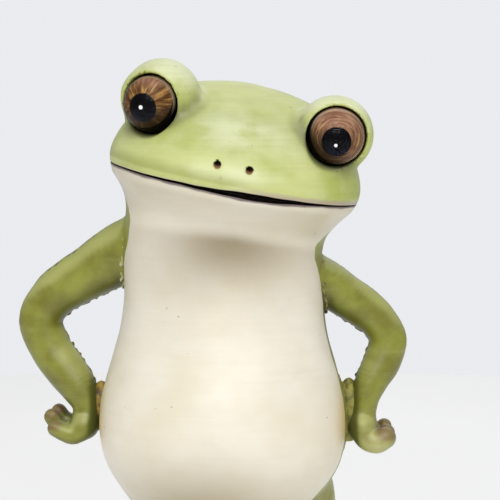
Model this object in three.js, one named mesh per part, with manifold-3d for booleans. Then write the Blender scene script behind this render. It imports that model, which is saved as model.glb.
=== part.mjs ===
// A hand-painted cast-resin frog that stands with its hands on its hips.
// Millimetres, +Z up. The frog faces -Y, and its own left side is on +X.
//
// It is cast in five pieces: one hollow shell for head and trunk, two arms and two legs. Steel wires in
// the arms and rods in the legs run on into the shell, resin putty closes shoulders and hips, a plug
// closes the pour hole, each eye is a painted ball under a clear dome, and a felt pad lies under each foot.
//
// Everything is drawn with the head level and facing forwards; posed() then leans and turns the head.

import * as THREE from 'three';
import { LoftGeometry } from 'three/addons/geometries/LoftGeometry.js';
import { mergeVertices } from 'three/addons/utils/BufferGeometryUtils.js';
import Module from 'manifold-3d';

const wasm = await Module();
wasm.setup();

// ---------------------------------------------------------------- driving dimensions

const FIT = 0.3; // gap between neighbouring pieces
const PAD = 1.5; // felt thickness, which is also the height of the soles
const WALL = 4.5; // wall of the hollow head and trunk

const HEAD_LEAN = THREE.MathUtils.degToRad( 10 ); // towards the frog's left
const HEAD_TURN = THREE.MathUtils.degToRad( 2.5 ); // towards its left
const NECK = { pivot: 141, from: 126, to: 149 }; // heights between which the neck bends

// Level sections of head and trunk, from the crotch up: height, half width, front and back.
const TRUNK = [
	[ 62.0, 3.0, - 1.0, 5.0 ],
	[ 63.5, 9.5, - 9.0, 11.0 ],
	[ 67.0, 16.0, - 16.0, 16.0 ],
	[ 72.0, 20.8, - 21.5, 19.0 ],
	[ 78.0, 25.4, - 25.8, 20.5 ],
	[ 85.0, 29.3, - 28.5, 21.0 ],
	[ 93.0, 30.7, - 29.8, 20.5 ],
	[ 101.0, 30.3, - 29.3, 19.5 ],
	[ 109.0, 28.2, - 27.0, 18.5 ],
	[ 117.0, 26.0, - 23.8, 17.7 ],
	[ 125.0, 24.9, - 21.0, 17.2 ],
	[ 133.0, 24.8, - 19.5, 17.5 ],
	[ 140.0, 24.8, - 19.5, 18.5 ],
	[ 145.0, 25.2, - 21.2, 20.5 ],
	[ 149.0, 27.2, - 24.0, 22.6 ],
	[ 152.0, 29.5, - 26.4, 23.8 ],
	[ 154.5, 30.9, - 27.6, 24.4 ],
	[ 158.0, 31.3, - 27.3, 24.8 ],
	[ 162.0, 30.3, - 25.6, 24.6 ],
	[ 166.0, 28.2, - 22.3, 23.5 ],
	[ 170.0, 25.4, - 17.5, 21.5 ],
	[ 174.0, 21.3, - 11.0, 18.0 ],
	[ 177.0, 15.5, - 4.5, 13.5 ],
	[ 178.6, 8.0, 0.0, 9.0 ],
	[ 179.0, 2.5, 3.0, 6.0 ],
];

const MOUTH = { height: 154.1, smile: 0.7, gap: 1.9, depth: 3.2 };
const NOSTRIL = { x: 3.8, y: - 26, z: 160.2, radius: 0.9, depth: 2.2 };

// Painted ball, clear dome over its front, and the round lid behind and above it. The eyes are set by
// hand, so the two sides differ.
const EYE = {
	ball: 6.5,
	dome: 0.7,
	lid: 9.5,
	rim: 0.5, // how far in front of the middle of the ball the socket starts to flare
	flare: 3.2, // how much wider the socket gets over its length
	left: {
		lid: [ 22.4, - 7.5, 171.0 ],
		ball: [ 22.7, - 10.7, 170.9 ],
		turnedOut: 4,
		turnedDown: 3,
	},
	right: {
		lid: [ - 20.4, - 7.5, 172.5 ],
		ball: [ - 22.2, - 10.7, 170.8 ],
		turnedOut: 17.5,
		turnedDown: 4,
	},
};

// Arms, fingers and legs are round tubes along points of [ x, y, z, radius ].
const LIMBS = {
	right: {
		arm: [
			[ - 19.0, 2.4, 137.8, 6.6 ], [ - 26.8, 3.0, 134.1, 6.3 ],
			[ - 34.2, 3.8, 130.2, 5.7 ], [ - 39.2, 4.2, 127.6, 5.6 ],
			[ - 44.2, 4.6, 124.3, 5.7 ], [ - 47.3, 4.6, 118.6, 5.5 ],
			[ - 44.4, 3.9, 111.2, 5.3 ], [ - 40.7, 2.8, 106.4, 5.2 ],
			[ - 37.4, 1.6, 102.4, 4.7 ], [ - 35.2, 0.5, 98.3, 3.7 ], [ - 35.0, 0.0, 94.4, 3.3 ],
		],
		palm: [ - 35.4, 0.6, 92.6, 3.7 ],
		fingers: [
			[
				[ - 35.2, - 2.0, 93.0, 2.7 ], [ - 37.6, - 2.8, 90.8, 2.6 ],
				[ - 40.2, - 3.1, 91.2, 2.2 ], [ - 42.4, - 3.0, 92.2, 2.0 ],
			],
			[
				[ - 35.2, 0.8, 93.2, 2.7 ], [ - 38.6, 1.2, 91.2, 2.4 ],
				[ - 42.0, 1.3, 91.9, 2.1 ], [ - 44.0, 1.2, 94.4, 2.0 ],
			],
			[
				[ - 35.2, 3.2, 93.8, 2.6 ], [ - 38.2, 5.0, 92.2, 2.3 ],
				[ - 41.2, 5.7, 92.9, 2.0 ], [ - 43.0, 5.6, 95.0, 1.9 ],
			],
		],
		leg: [
			[ - 12.5, 4.5, 88, 6.5 ], [ - 15.0, 4.4, 76, 7.9 ], [ - 15.6, 3.4, 66, 7.6 ],
			[ - 17.2, - 0.6, 45, 6.3 ], [ - 17.6, 3, 26, 5.6 ], [ - 18, 6, 8, 5 ],
		],
		footTurn: - 18,
	},
	left: {
		arm: [
			[ 17.5, 2.4, 134.6, 7.2 ], [ 24.7, 3.0, 131.0, 6.4 ],
			[ 29.4, 3.8, 126.7, 5.8 ], [ 34.5, 4.4, 122.8, 5.2 ],
			[ 38.3, 4.6, 119.6, 4.8 ], [ 41.0, 4.5, 114.8, 4.7 ],
			[ 39.5, 3.4, 109.2, 4.6 ], [ 37.3, 2.0, 105.3, 4.2 ],
			[ 35.4, 0.8, 101.0, 3.7 ], [ 34.9, 0.2, 96.9, 3.3 ], [ 34.7, 0.0, 94.4, 3.2 ],
		],
		palm: [ 34.8, 0.4, 93.0, 3.7 ],
		fingers: [
			[
				[ 34.8, - 1.6, 93.4, 3.0 ], [ 35.8, - 2.4, 90.9, 3.0 ],
				[ 38.3, - 3.0, 90.0, 2.9 ], [ 40.4, - 2.8, 91.0, 2.7 ],
			],
			[
				[ 34.8, 1.4, 93.4, 2.8 ], [ 36.8, 2.4, 90.8, 2.5 ],
				[ 39.0, 2.8, 90.2, 2.3 ], [ 40.8, 2.8, 91.2, 2.1 ],
			],
			[
				[ 34.8, 3.2, 94.0, 2.6 ], [ 36.6, 6.2, 91.6, 2.3 ],
				[ 38.8, 7.2, 91.0, 2.1 ], [ 40.2, 7.2, 92.0, 1.9 ],
			],
		],
		leg: [
			[ 17.5, 4.5, 88, 6.5 ], [ 19.6, 4.4, 76, 8 ], [ 20.1, 3.4, 66, 7.7 ],
			[ 20.6, - 0.6, 45, 6.3 ], [ 20.2, 3, 26, 5.6 ], [ 20, 6, 8, 5 ],
		],
		footTurn: 18,
	},
};

// The last bend of each arm wire, through the wrist and into the hip: distance from the middle, y, z.
const WIRE_IN_WRIST = [ [ 35.0, 0.4, 98.6 ], [ 33.4, 0.1, 96.3 ], [ 30.2, 0, 95.3 ], [ 24.5, 0, 95.3 ] ];
const WIRE = 1.25; // radius of the arm wires
const ROD = 1.5; // radius of the leg rods

const BEAD = { height: 1.4, width: 0.9 }; // putty round each shoulder
const HIP_PUTTY = { centre: [ 32.2, 0.6, 97.2 ], halfSize: [ 4.4, 4.2, 7.6 ] };
const FOOT = {
	height: 5.2,
	heel: 6.8, // radius of the round heel under the ankle
	toes: [ - 24, 0, 24 ], // degrees from straight ahead
	reach: 36, // from the ankle to a toe tip
	toe: 4.2, // radius of a toe tip
	web: 27,
	bevel: 1.1,
	padInset: 1.6,
	ankle: 5.8,
};
const PLUG = { x: 2.2, y: 2.2, z: 62.2, radius: 6.2, height: 5 };

const finish = ( name, color, roughness, more = {} ) => new THREE.MeshStandardMaterial( {
	name,
	color,
	roughness,
	...more,
} );

const paint = {
	resin: finish( 'painted_resin', 0xa9bf62, 0.42 ),
	putty: finish( 'resin_putty', 0x9c8b3e, 0.5 ),
	iris: finish( 'painted_iris', 0x6b3f22, 0.3 ),
	clear: finish( 'clear_acrylic', 0xffffff, 0.03, { opacity: 0.3, transparent: true } ),
	steel: finish( 'steel', 0x9a9da0, 0.35, { metalness: 1 } ),
	rubber: finish( 'plug_rubber', 0x6d6a60, 0.8 ),
	felt: finish( 'felt', 0x39402c, 0.95 ),
};

// ---------------------------------------------------------------- from geometry to solid and back

function solid( geometry ) {

	const bare = geometry.index ? geometry.toNonIndexed() : geometry.clone();
	bare.deleteAttribute( 'normal' );
	bare.deleteAttribute( 'uv' );
	const merged = mergeVertices( bare, 1e-4 );
	return new wasm.Manifold( new wasm.Mesh( {
		numProp: 3,
		vertProperties: merged.attributes.position.array,
		triVerts: new Uint32Array( merged.index.array ),
	} ) );

}

function geometryOf( made ) {

	const mesh = made.getMesh();
	const geometry = new THREE.BufferGeometry();
	const positions = new Float32Array( mesh.vertProperties );
	geometry.setAttribute( 'position', new THREE.BufferAttribute( positions, 3 ) );
	geometry.setIndex( new THREE.BufferAttribute( new Uint32Array( mesh.triVerts ), 1 ) );
	geometry.computeVertexNormals();
	return geometry;

}

const union = ( solids ) => solids.reduce( ( a, b ) => a.add( b ) );

const without = ( whole, ...cuts ) => cuts.reduce( ( a, b ) => a.subtract( b ), whole );

const largest = ( made ) => made.decompose().reduce( ( a, b ) => ( b.volume() > a.volume() ? b : a ) );

// Turns and leans everything above the neck, and bends the neck between.
function posed( geometry ) {

	const position = geometry.attributes.position;
	const point = new THREE.Vector3();
	for ( let i = 0; i < position.count; i ++ ) {

		point.fromBufferAttribute( position, i );
		const share = THREE.MathUtils.smoothstep( point.z, NECK.from, NECK.to );
		point.z -= NECK.pivot;
		point.applyAxisAngle( new THREE.Vector3( 0, 0, 1 ), share * HEAD_TURN );
		point.applyAxisAngle( new THREE.Vector3( 0, 1, 0 ), share * HEAD_LEAN );
		point.z += NECK.pivot;
		position.setXYZ( i, point.x, point.y, point.z );

	}

	geometry.computeVertexNormals();
	return geometry;

}

// ---------------------------------------------------------------- shape builders

// A capped skin through rings of points.
const loft = ( rings ) => solid( new LoftGeometry( rings, { capStart: true, capEnd: true } ) );

function curveThrough( points ) {

	return new THREE.CatmullRomCurve3( points.map( ( p ) => new THREE.Vector3( ...p ) ) );

}

// Head and trunk as one loft through level sections, grown outwards by `grow`, which is negative for the
// hollow.
function trunk( { grow = 0, around = 28, perStation = 1.5, to = Infinity } = {} ) {

	const stations = TRUNK.filter( ( [ z ] ) => z <= to );
	const width = curveThrough( stations.map( ( [ z, half ] ) => [ half, 0, z ] ) );
	const depth = curveThrough( stations.map( ( [ z, , front, back ] ) => [ front, back, z ] ) );
	const steps = Math.round( perStation * ( stations.length - 1 ) );
	const middle = ( stations[ 0 ][ 0 ] + stations.at( - 1 )[ 0 ] ) / 2;
	const halfHeight = stations.at( - 1 )[ 0 ] - middle;
	const rings = [];
	for ( let i = 0; i <= steps; i ++ ) {

		const { x: half, z } = width.getPoint( i / steps );
		const { x: front, y: back } = depth.getPoint( i / steps );
		const across = Math.max( half + grow, 0.6 );
		const deep = Math.max( ( back - front ) / 2 + grow, 0.6 );
		const ring = [];
		for ( let j = 0; j < around; j ++ ) {

			const angle = 2 * Math.PI * j / around;
			ring.push( new THREE.Vector3(
				across * Math.cos( angle ),
				( front + back ) / 2 + deep * Math.sin( angle ),
				z + grow * ( z - middle ) / halfHeight,
			) );

		}

		rings.push( ring );

	}

	return loft( rings );

}

// A round tube along points of [ x, y, z, radius ], with flat ends.
function tube( points, { around = 12, steps = 4 * ( points.length - 1 ), grow = 0 } = {} ) {

	const line = curveThrough( points.map( ( [ x, y, z ] ) => [ x, y, z ] ) );
	const { normals, binormals } = line.computeFrenetFrames( steps, false );
	const rings = [];
	for ( let i = 0; i <= steps; i ++ ) {

		const t = line.getUtoTmapping( i / steps );
		const place = t * ( points.length - 1 );
		const before = Math.min( Math.floor( place ), points.length - 2 );
		const [ radiusBefore, radiusAfter ] = [ points[ before ][ 3 ], points[ before + 1 ][ 3 ] ];
		const radius = grow + THREE.MathUtils.lerp( radiusBefore, radiusAfter, place - before );
		const centre = line.getPoint( t );
		const ring = [];
		for ( let j = 0; j < around; j ++ ) {

			const angle = 2 * Math.PI * j / around;
			ring.push( centre.clone()
				.addScaledVector( normals[ i ], radius * Math.cos( angle ) )
				.addScaledVector( binormals[ i ], radius * Math.sin( angle ) ) );

		}

		rings.push( ring );

	}

	return loft( rings );

}

function ball( x, y, z, radius, { across = 16, scale = [ 1, 1, 1 ] } = {} ) {

	const geometry = new THREE.SphereGeometry( radius, across, Math.round( across * 0.6 ) );
	geometry.rotateX( Math.PI / 2 );
	geometry.scale( ...scale );
	geometry.translate( x, y, z );
	return solid( geometry );

}

// A flat-ended cone or cylinder that starts at `from` and runs along the unit vector `direction`.
function cone( from, direction, length, startRadius, endRadius, around = 20 ) {

	const geometry = new THREE.CylinderGeometry( endRadius, startRadius, length, around );
	geometry.translate( 0, length / 2, 0 );
	const upright = new THREE.Vector3( 0, 1, 0 );
	geometry.applyQuaternion( new THREE.Quaternion().setFromUnitVectors( upright, direction ) );
	geometry.translate( from.x, from.y, from.z );
	return solid( geometry );

}

// ---------------------------------------------------------------- eyes

function gaze( side ) {

	const { turnedOut, turnedDown } = EYE[ side ];
	const out = THREE.MathUtils.degToRad( side === 'left' ? turnedOut : - turnedOut );
	const down = THREE.MathUtils.degToRad( turnedDown );
	return new THREE.Vector3( Math.sin( out ), - Math.cos( out ), - Math.tan( down ) ).normalize();

}

function aheadOfEye( side, distance ) {

	return new THREE.Vector3( ...EYE[ side ].ball ).addScaledVector( gaze( side ), distance );

}

const lid = ( side ) => ball( ...EYE[ side ].lid, EYE.lid, { across: 20 } );

const eyeBall = ( side, grow = 0 ) => ball( ...EYE[ side ].ball, EYE.ball + grow, { across: 16 } );

// Everything in front of the plane that lies `distance` ahead of the middle of the eye.
const inFront = ( side, distance ) => cone( aheadOfEye( side, distance ), gaze( side ), 14, 14, 14 );

// The front part of a slightly larger ball, hollowed to sit on the painted one.
function eyeDome( side ) {

	return eyeBall( side, EYE.dome ).subtract( eyeBall( side, 0.1 ) ).intersect( inFront( side, EYE.rim ) );

}

// The room cut out for an eye: round behind, and a flare in front that frees the dome.
function eyeSocket( side ) {

	const behind = eyeBall( side, FIT );
	const roundDome = eyeBall( side, EYE.dome + FIT ).intersect( inFront( side, EYE.rim - FIT ) );
	const mouth = EYE.ball + EYE.dome + FIT;
	const flare = cone( aheadOfEye( side, EYE.rim ), gaze( side ), 16, mouth, mouth + EYE.flare );
	return union( [ behind, roundDome, flare ] );

}

// ---------------------------------------------------------------- mouth and nostrils

// A slit round the front of the head, widest in the middle, rising a little to each corner.
function mouthSlit() {

	const [ , half, front, back ] = TRUNK.find( ( [ z ] ) => z > MOUTH.height );
	const middle = ( front + back ) / 2;
	const deep = ( back - front ) / 2;
	const steps = 24;
	const rings = [];
	for ( let i = 0; i <= steps; i ++ ) {

		const angle = Math.PI * ( 1 + i / steps );
		const across = Math.cos( angle );
		const open = 1 - across ** 2;
		const out = new THREE.Vector3( across, Math.sin( angle ), 0 );
		const height = MOUTH.height + MOUTH.smile * across ** 2;
		const onSkin = new THREE.Vector3( half * across, middle + deep * Math.sin( angle ), height );
		const gap = 0.15 + MOUTH.gap * open / 2;
		const outside = onSkin.clone().addScaledVector( out, 1.5 );
		const inside = onSkin.clone().addScaledVector( out, - MOUTH.depth * ( 0.3 + 0.7 * open ) );
		rings.push( [
			inside.clone().setZ( height - 0.4 * gap ),
			inside.clone().setZ( height + 0.4 * gap ),
			outside.clone().setZ( height + gap ),
			outside.clone().setZ( height - 1.3 * gap ),
		] );

	}

	return loft( rings );

}

function nostril( side ) {

	const x = side === 'left' ? NOSTRIL.x : - NOSTRIL.x;
	const front = new THREE.Vector3( x, NOSTRIL.y - 3, NOSTRIL.z - 0.6 );
	const inwards = new THREE.Vector3( 0, 1, 0.2 ).normalize();
	return cone( front, inwards, NOSTRIL.depth + 3, NOSTRIL.radius, NOSTRIL.radius, 8 );

}

// ---------------------------------------------------------------- arms and legs

// Palm and fingers; the fingers curl outwards and up from the bottom of the hand.
function hand( side, grow ) {

	const [ x, y, z, radius ] = LIMBS[ side ].palm;
	const palm = ball( x, y, z, radius + grow, { across: 10, scale: [ 0.92, 1.45, 1 ] } );
	const fingers = LIMBS[ side ].fingers.map( ( points ) => {

		const [ tipX, tipY, tipZ, tipRadius ] = points.at( - 1 );
		const tip = ball( tipX, tipY, tipZ, tipRadius + grow, { across: 8 } );
		return tube( points, { around: 7, steps: 5, grow } ).add( tip );

	} );
	return union( [ palm, ...fingers ] );

}

function armShape( side, grow = 0 ) {

	return tube( LIMBS[ side ].arm, { grow, around: 10, steps: 20 } ).add( hand( side, grow ) );

}

// The same points with another radius, for a wire or rod that runs down the middle of a limb.
const withRadius = ( points, radius ) => points.map( ( [ x, y, z ] ) => [ x, y, z, radius ] );

// The bent wire: from inside the shoulder, down the middle of the arm, through the wrist and into the hip.
function wireShape( side, radius ) {

	const sign = side === 'left' ? 1 : - 1;
	const [ [ x, y, z ], ...inArm ] = LIMBS[ side ].arm;
	const start = [ x - 4 * sign, y, z + 1.5 ];
	const upper = inArm.filter( ( [ , , height ] ) => height > 100 );
	const lower = WIRE_IN_WRIST.map( ( [ across, inDepth, height ] ) => [ sign * across, inDepth, height ] );
	return tube( withRadius( [ start, ...upper, ...lower ], radius ), { around: 6, steps: 24 } );

}

function rodShape( side, radius ) {

	return tube( withRadius( LIMBS[ side ].leg, radius ), { around: 8, steps: 10 } );

}

// Putty run round the root of an arm where it meets the trunk.
function shoulderBead( side, grownTrunk ) {

	const outer = armShape( side, FIT + BEAD.width ).intersect( trunk( { grow: FIT + BEAD.height } ) );
	return largest( without( outer, grownTrunk, armShape( side, FIT ) ) );

}

// Putty between the wrist and the hip.
function hipPutty( side, grownTrunk ) {

	const [ x, y, z ] = HIP_PUTTY.centre;
	const lump = ball( side === 'left' ? x : - x, y, z, 1, { across: 12, scale: HIP_PUTTY.halfSize } );
	return largest( without( lump, grownTrunk, armShape( side, FIT ), wireShape( side, WIRE + FIT ) ) );

}

// Outline of one foot, heel towards +Y and toes towards -Y, with scalloped webs between the toes.
function footOutline( inset ) {

	const toe = FOOT.toe - inset;
	const web = 0.94 * FOOT.web - inset;
	const toes = FOOT.toes.map( ( degrees ) => THREE.MathUtils.degToRad( degrees - 90 ) );
	const shape = new THREE.Shape();
	shape.absarc( 0, 0, FOOT.heel - inset, 0, Math.PI, false );
	toes.forEach( ( angle, i ) => {

		const x = ( FOOT.reach - FOOT.toe ) * Math.cos( angle );
		const y = ( FOOT.reach - FOOT.toe ) * Math.sin( angle );
		const startX = x + toe * Math.cos( angle - Math.PI / 2 );
		const startY = y + toe * Math.sin( angle - Math.PI / 2 );
		if ( i === 0 ) {

			shape.lineTo( startX, startY );

		} else {

			const between = ( toes[ i - 1 ] + angle ) / 2;
			shape.quadraticCurveTo( web * Math.cos( between ), web * Math.sin( between ), startX, startY );

		}

		shape.absarc( x, y, toe, angle - Math.PI / 2, angle + Math.PI / 2, false );

	} );
	shape.closePath();
	return shape;

}

// Turns a foot-shaped geometry out and moves it under the ankle.
function underAnkle( geometry, side ) {

	const [ x, y ] = LIMBS[ side ].leg.at( - 1 );
	geometry.rotateZ( THREE.MathUtils.degToRad( LIMBS[ side ].footTurn ) );
	geometry.translate( x, y, 0 );
	return solid( geometry );

}

function foot( side ) {

	const geometry = new THREE.ExtrudeGeometry( footOutline( FOOT.bevel ), {
		depth: FOOT.height - 2 * FOOT.bevel,
		bevelSize: FOOT.bevel,
		bevelThickness: FOOT.bevel,
		bevelSegments: 1,
		curveSegments: 4,
	} );
	geometry.translate( 0, 0, PAD + FOOT.bevel );
	const [ x, y ] = LIMBS[ side ].leg.at( - 1 );
	const ankle = ball( x, y, PAD + 5, FOOT.ankle, { across: 14, scale: [ 1, 1.1, 0.85 ] } );
	return underAnkle( geometry, side ).add( ankle );

}

function footPad( side ) {

	const geometry = new THREE.ExtrudeGeometry( footOutline( FOOT.padInset ), {
		depth: PAD,
		bevelEnabled: false,
		curveSegments: 4,
	} );
	return underAnkle( geometry, side );

}

// ---------------------------------------------------------------- assembly

const SIDES = [ 'left', 'right' ];
const UP = new THREE.Vector3( 0, 0, 1 );
const frog = new THREE.Group();
frog.name = 'frog_figurine';

function addPiece( name, made, material ) {

	const mesh = new THREE.Mesh( posed( geometryOf( made ) ), material );
	mesh.name = name;
	frog.add( mesh );

}

const grownTrunk = trunk( { grow: FIT } );
const hollow = trunk( { grow: - WALL, around: 16, perStation: 1, to: 170 } );
const belowPlug = new THREE.Vector3( PLUG.x, PLUG.y, 50 );
const pourHole = cone( belowPlug, UP, 25, PLUG.radius + FIT, PLUG.radius + FIT );
const shell = without(
	union( [ trunk(), ...SIDES.map( lid ) ] ),
	hollow,
	pourHole,
	mouthSlit(),
	...SIDES.map( nostril ),
	...SIDES.map( eyeSocket ),
	...SIDES.map( ( side ) => wireShape( side, WIRE + FIT ) ),
	...SIDES.map( ( side ) => rodShape( side, ROD + FIT ) ),
);
addPiece( 'head_and_trunk_shell', shell, paint.resin );

const plug = cone( new THREE.Vector3( PLUG.x, PLUG.y, PLUG.z ), UP, PLUG.height, PLUG.radius, PLUG.radius );
addPiece( 'pour_hole_plug', plug, paint.rubber );

for ( const side of SIDES ) {

	const arm = without( armShape( side ), grownTrunk, wireShape( side, WIRE + FIT ) );
	addPiece( `${ side }_arm_casting`, largest( arm ), paint.resin );
	addPiece( `${ side }_arm_wire`, wireShape( side, WIRE ), paint.steel );
	addPiece( `${ side }_shoulder_bead`, shoulderBead( side, grownTrunk ), paint.putty );
	addPiece( `${ side }_hip_putty`, hipPutty( side, grownTrunk ), paint.putty );

	const wholeLeg = tube( LIMBS[ side ].leg, { steps: 14 } ).add( foot( side ) );
	const leg = without( wholeLeg, grownTrunk, rodShape( side, ROD + FIT ) );
	addPiece( `${ side }_leg_casting`, largest( leg ), paint.resin );
	addPiece( `${ side }_leg_rod`, rodShape( side, ROD ), paint.steel );
	addPiece( `${ side }_foot_pad`, footPad( side ), paint.felt );

	addPiece( `${ side }_eye_ball`, eyeBall( side ), paint.iris );
	addPiece( `${ side }_eye_dome`, eyeDome( side ), paint.clear );

}

// The origin goes to the middle of the footprint, on the floor.
const extent = new THREE.Box3().setFromObject( frog );
const centre = extent.getCenter( new THREE.Vector3() );
frog.position.set( - centre.x, - centre.y, - extent.min.z );

export default frog;
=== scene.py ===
"""Looks of the standing resin frog: sculpted skin, painted eyes, putty, felt and steel.

The shapes are drawn as distance fields in millimetres, with the head level as in the part's own source,
turned into meshes, and then leaned with the same neck bend as the part.
"""

import math
from functools import partial

import bpy
import numpy as np
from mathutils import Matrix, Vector


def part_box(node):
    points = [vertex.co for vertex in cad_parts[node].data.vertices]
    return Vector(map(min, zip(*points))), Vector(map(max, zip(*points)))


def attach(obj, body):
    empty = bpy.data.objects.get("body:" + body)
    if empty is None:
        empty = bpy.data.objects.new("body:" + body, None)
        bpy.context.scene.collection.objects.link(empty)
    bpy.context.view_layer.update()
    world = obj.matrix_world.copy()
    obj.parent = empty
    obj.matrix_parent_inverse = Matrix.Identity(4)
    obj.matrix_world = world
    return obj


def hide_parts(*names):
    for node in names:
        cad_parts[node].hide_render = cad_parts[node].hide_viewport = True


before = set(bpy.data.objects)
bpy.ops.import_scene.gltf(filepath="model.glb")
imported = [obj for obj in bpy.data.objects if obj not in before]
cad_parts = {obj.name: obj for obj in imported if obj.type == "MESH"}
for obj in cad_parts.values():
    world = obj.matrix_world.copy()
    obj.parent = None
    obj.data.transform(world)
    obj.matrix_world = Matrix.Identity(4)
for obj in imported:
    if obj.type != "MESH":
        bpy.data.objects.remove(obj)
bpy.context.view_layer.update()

MM = 0.001
SIDES = ("left", "right")

# ---- dimensions in millimetres: the part's own, and finer ones for the sculpted skin

HEAD_LEAN = math.radians(10)
HEAD_TURN = math.radians(2.5)
NECK_PIVOT, NECK_FROM, NECK_TO = 141, 126, 149
SOLE = 1.5

# Level sections of head and trunk: height, half width, front and back.
TRUNK = np.array([
    (62, 3, -1, 5), (63.5, 9.5, -9, 11), (67, 16, -16, 16),
    (72, 20.8, -21.5, 19), (78, 25.4, -25.8, 20.5), (85, 29.3, -28.5, 21),
    (93, 30.7, -29.8, 20.5), (101, 30.3, -29.3, 19.5), (109, 28.2, -27, 18.5),
    (117, 26, -23.8, 17.7), (125, 24.9, -21, 17.2), (133, 24.8, -19.5, 17.5),
    (140, 24.8, -19.5, 18.5), (145, 25.2, -21.2, 20.5), (149, 27.2, -24, 22.6),
    (152, 29.5, -26.4, 23.8), (154.5, 30.9, -27.6, 24.4), (158, 31.3, -27.3, 24.8),
    (162, 30.3, -25.6, 24.6), (166, 28.2, -22.3, 23.5), (170, 25.4, -17.5, 21.5),
    (174, 21.3, -11, 18), (177, 15.5, -4.5, 13.5), (178.6, 8, 0, 9),
    (179, 2.5, 3, 6),
])

MOUTH_HEIGHT, MOUTH_SMILE, MOUTH_HALF_WIDTH, MOUTH_DEPTH = 154.1, 0.7, 31.0, 3.2
CHIN = 141.6
MOUTH_OPEN_AT = 6  # the slit gapes a little on the left of the middle
NOSTRIL_X, NOSTRIL_Y, NOSTRIL_Z, NOSTRIL_RADIUS = 3.8, -26, 160.1, 0.78

# Radii. The painted ball nearly fills its dome, as it looks through the clear plastic.
BALL, DOME, LID = 6.95, 7.2, 9.5
SOCKET = DOME + 0.1
SOCKET_FROM = 0.5  # how far ahead of the middle of the ball the socket starts to open
EYES = {
    "left": {"lid": (22.4, -7.5, 171.0), "ball": (22.7, -10.7, 170.9), "out": 4, "down": 3},
    "right": {"lid": (-20.4, -7.5, 172.5), "ball": (-22.2, -10.7, 170.8), "out": -17.5, "down": 4},
}

# Arms, fingers and legs are round along points of x, y, z, radius.
ARMS = {
    "right": [
        (-19, 2.4, 137.8, 6.6), (-26.8, 3, 134.1, 6.3), (-34.2, 3.8, 130.2, 5.7),
        (-39.2, 4.2, 127.6, 5.6), (-44.2, 4.6, 124.3, 5.7), (-47.3, 4.6, 118.6, 5.5),
        (-44.4, 3.9, 111.2, 5.3), (-40.7, 2.8, 106.4, 5.2), (-37.4, 1.6, 102.4, 4.7),
        (-35.2, 0.5, 98.3, 3.7), (-35, 0, 94.4, 3.3),
    ],
    "left": [
        (17.5, 2.4, 134.6, 7.2), (24.7, 3, 131, 6.4), (29.4, 3.8, 126.7, 5.8),
        (34.5, 4.4, 122.8, 5.2), (38.3, 4.6, 119.6, 4.8), (41, 4.5, 114.8, 4.7),
        (39.5, 3.4, 109.2, 4.6), (37.3, 2, 105.3, 4.2), (35.4, 0.8, 101, 3.7),
        (34.9, 0.2, 96.9, 3.3), (34.7, 0, 94.4, 3.2),
    ],
}
PALMS = {"right": (-35.4, 0.6, 92.6, 3.7), "left": (34.8, 0.4, 93, 3.7)}
FINGERS = {
    "right": [
        [(-35.2, -2, 93, 2.7), (-37.6, -2.8, 90.8, 2.6), (-40.2, -3.1, 91.2, 2.2),
         (-42.4, -3, 92.2, 2)],
        [(-35.2, 0.8, 93.2, 2.7), (-38.6, 1.2, 91.2, 2.4), (-42, 1.3, 91.9, 2.1),
         (-44, 1.2, 94.4, 2)],
        [(-35.2, 3.2, 93.8, 2.6), (-38.2, 5, 92.2, 2.3), (-41.2, 5.7, 92.9, 2),
         (-43, 5.6, 95, 1.9)],
    ],
    "left": [
        [(34.8, -1.6, 93.4, 3), (35.8, -2.4, 90.9, 3), (38.3, -3, 90, 2.9),
         (40.4, -2.8, 91, 2.7)],
        [(34.8, 1.4, 93.4, 2.8), (36.8, 2.4, 90.8, 2.5), (39, 2.8, 90.2, 2.3),
         (40.8, 2.8, 91.2, 2.1)],
        [(34.8, 3.2, 94, 2.6), (36.6, 6.2, 91.6, 2.3), (38.8, 7.2, 91, 2.1),
         (40.2, 7.2, 92, 1.9)],
    ],
}
LEGS = {
    "right": [
        (-12.5, 4.5, 88, 6.5), (-15, 4.4, 76, 7.9), (-15.6, 3.4, 66, 7.6),
        (-17.2, -0.6, 45, 6.3), (-17.6, 3, 26, 5.6), (-18, 6, 8, 5),
    ],
    "left": [
        (17.5, 4.5, 88, 6.5), (19.6, 4.4, 76, 8), (20.1, 3.4, 66, 7.7),
        (20.6, -0.6, 45, 6.3), (20.2, 3, 26, 5.6), (20, 6, 8, 5),
    ],
}
FOOT_TURN = {"right": -18, "left": 18}
HEEL, TOE, TOE_REACH, TOE_SPREAD, WEB_REACH = 6.8, 4.2, 36, 24, 27
TOE_LINE = TOE_REACH - TOE

# Middle and half sizes of the putty between wrists and hips.
HIP_PUTTY = {"left": (31.3, 1.0, 97.0), "right": (-31.2, 1.3, 97.3)}
HIP_PUTTY_SIZE = {"left": (3.5, 3.2, 8.0), "right": (2.9, 3.0, 6.4)}
PLUG_X, PLUG_Y, PLUG_POCKET, PLUG_TOP = 2.2, 2.2, 6.5, 67.4

# Arms and legs run into the trunk as a thin flange, between these depths under its skin.
FLANGE_OUTSIDE, FLANGE_INSIDE = 0.3, 1.4
LIMB_UNEVENNESS = 0.8  # limbs are a little smoother than the trunk

# How far in front of the middle of the body the cream paint ends: height, distance.
PAINT_EDGE = np.array([
    (60, 16), (70, 13.5), (76, 10.5), (84, 4.8), (92, 2.6), (125, 2.6),
    (133, 4.2), (138, 6.8), (143, 7.8), (146, 5.5), (149, 1), (152, -1), (156, -1.2),
])

plug_low, plug_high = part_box("pour_hole_plug")
ORIGIN = np.array([
    (plug_low.x + plug_high.x) / 2 / MM - PLUG_X,
    (plug_low.y + plug_high.y) / 2 / MM - PLUG_Y,
    0.0,
])

# ---- fields and curves


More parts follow.
